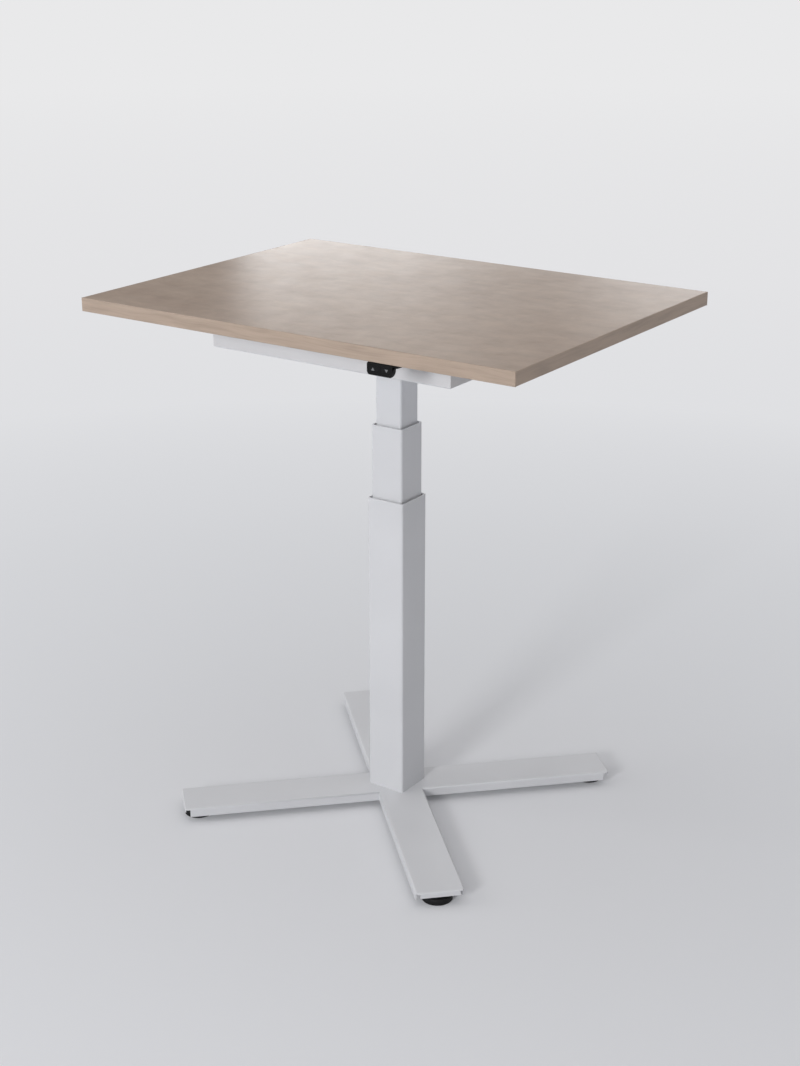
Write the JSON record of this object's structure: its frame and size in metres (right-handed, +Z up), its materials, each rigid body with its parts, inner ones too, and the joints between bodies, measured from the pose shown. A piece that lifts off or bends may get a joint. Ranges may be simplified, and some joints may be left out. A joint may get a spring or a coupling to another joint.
{
  "type": "electric standing desk",
  "caption": "Sit-stand desk: rectangular wood-decor top on a telescopic square lifting column with a cross base, steel tray with drive and control box below, hand switch at the front.",
  "frame": {"origin": "on the floor, under the column's axis and the desktop's centre", "axes": "+X to the user's right along the desktop, +Y to the back, away from the user, +Z up"},
  "size_m": [0.8, 0.6, 0.895],
  "materials": {
    "powder_coat": "fine-texture white-grey powder coat",
    "wood_decor": "greige wood-decor melamine face",
    "edge_band": "ABS edge band in the face's decor",
    "black_plastic": "fine-grain black ABS",
    "key_plastic": "satin black key caps",
    "foot_plastic": "matt black moulded nylon",
    "glide_plastic": "natural acetal",
    "lead_jacket": "black PVC jacket",
    "zinc_steel": "zinc-plated steel",
    "motor_steel": "drawn and zinc-plated can",
    "aluminium": "cast or turned aluminium",
    "brass": "turned brass",
    "circuit_board": "green solder mask"
  },
  "bodies": {
    "base": {"leg_front_right": "powder_coat", "leg_back_right": "powder_coat", "leg_back_left": "powder_coat", "leg_front_left": "powder_coat", "base_spreader": "powder_coat", "column_screws": "zinc_steel", "foot_nuts": "zinc_steel", "outer_tube": "powder_coat", "column_foot": "zinc_steel", "outer_glides": "glide_plastic", "nut_tube": "zinc_steel", "lower_nut": "glide_plastic"},
    "foot_front_right": {"foot_disc_front_right": "foot_plastic", "foot_stem_front_right": "zinc_steel"},
    "foot_back_right": {"foot_disc_back_right": "foot_plastic", "foot_stem_back_right": "zinc_steel"},
    "foot_back_left": {"foot_disc_back_left": "foot_plastic", "foot_stem_back_left": "zinc_steel"},
    "foot_front_left": {"foot_disc_front_left": "foot_plastic", "foot_stem_front_left": "zinc_steel"},
    "middle_stage": {"middle_tube": "powder_coat", "middle_foot": "aluminium", "middle_low_glides": "glide_plastic", "middle_top_glides": "glide_plastic", "carrier_tube": "aluminium", "carrier_head": "aluminium", "upper_nut": "glide_plastic", "thrust_washer": "brass"},
    "lower_screw": {"lower_spindle": "zinc_steel"},
    "desk": {"inner_tube": "powder_coat", "inner_glides": "glide_plastic", "head_plate": "zinc_steel", "tray_screws": "zinc_steel", "gearbox_housing": "aluminium", "gearbox_lid": "aluminium", "motor_can": "motor_steel", "motor_endcap": "black_plastic", "tray": "powder_coat", "tray_grommet": "black_plastic", "wood_screws": "zinc_steel", "control_case": "black_plastic", "control_lid": "black_plastic", "control_board": "circuit_board", "mains_inlet": "black_plastic", "motor_lead": "lead_jacket", "switch_lead": "lead_jacket", "lead_clips": "glide_plastic", "desktop_board": "wood_decor", "long_edge_bands": "edge_band", "short_edge_bands": "edge_band", "switch_plate": "black_plastic", "switch_shell": "black_plastic", "switch_board": "circuit_board"},
    "upper_screw": {"upper_spindle": "zinc_steel", "worm_wheel": "brass", "spindle_bearing": "zinc_steel"},
    "motor_shaft": {"worm_shaft": "zinc_steel", "motor_rotor": "motor_steel"},
    "up_key": {"up_key": "key_plastic"},
    "down_key": {"down_key": "key_plastic"}
  },
  "joints": [
    {"name": "lift", "type": "slide", "parent": "base", "child": "middle_stage", "axis": [0, 0, 1], "range_m": [-0.12, 0.205]},
    {"name": "upper_lift", "type": "slide", "parent": "middle_stage", "child": "desk", "axis": [0, 0, 1], "range_m": [-0.12, 0.205]},
    {"name": "lower_screw_turn", "type": "hinge", "parent": "middle_stage", "child": "lower_screw", "pos_m": [0, 0, 0.345], "axis": [0, 0, 1], "continuous": true},
    {"name": "upper_screw_turn", "type": "hinge", "parent": "desk", "child": "upper_screw", "pos_m": [0, 0, 0.8455], "axis": [0, 0, 1], "continuous": true},
    {"name": "motor_turn", "type": "hinge", "parent": "desk", "child": "motor_shaft", "pos_m": [0, 0.02635, 0.8455], "axis": [1, 0, 0], "continuous": true},
    {"name": "up_key_press", "type": "slide", "parent": "desk", "child": "up_key", "axis": [0, 1, 0], "range_m": [0, 0.0012], "stiffness_N_per_m": 800, "springref_m": -0.0006},
    {"name": "down_key_press", "type": "slide", "parent": "desk", "child": "down_key", "axis": [0, 1, 0], "range_m": [0, 0.0012], "stiffness_N_per_m": 800, "springref_m": -0.0006},
    {"name": "foot_front_right_level", "type": "slide", "parent": "base", "child": "foot_front_right", "axis": [0, 0, -1], "range_m": [0, 0.006]},
    {"name": "foot_back_right_level", "type": "slide", "parent": "base", "child": "foot_back_right", "axis": [0, 0, -1], "range_m": [0, 0.006]},
    {"name": "foot_back_left_level", "type": "slide", "parent": "base", "child": "foot_back_left", "axis": [0, 0, -1], "range_m": [0, 0.006]},
    {"name": "foot_front_left_level", "type": "slide", "parent": "base", "child": "foot_front_left", "axis": [0, 0, -1], "range_m": [0, 0.006]}
  ],
  "couplings": [
    {"joint": "upper_lift", "follows": "lift", "ratio": 1},
    {"joint": "lower_screw_turn", "follows": "lift", "rad_per_m": 785.4},
    {"joint": "upper_screw_turn", "follows": "lift", "rad_per_m": 785.4},
    {"joint": "motor_turn", "follows": "lift", "rad_per_m": 18850}
  ]
}
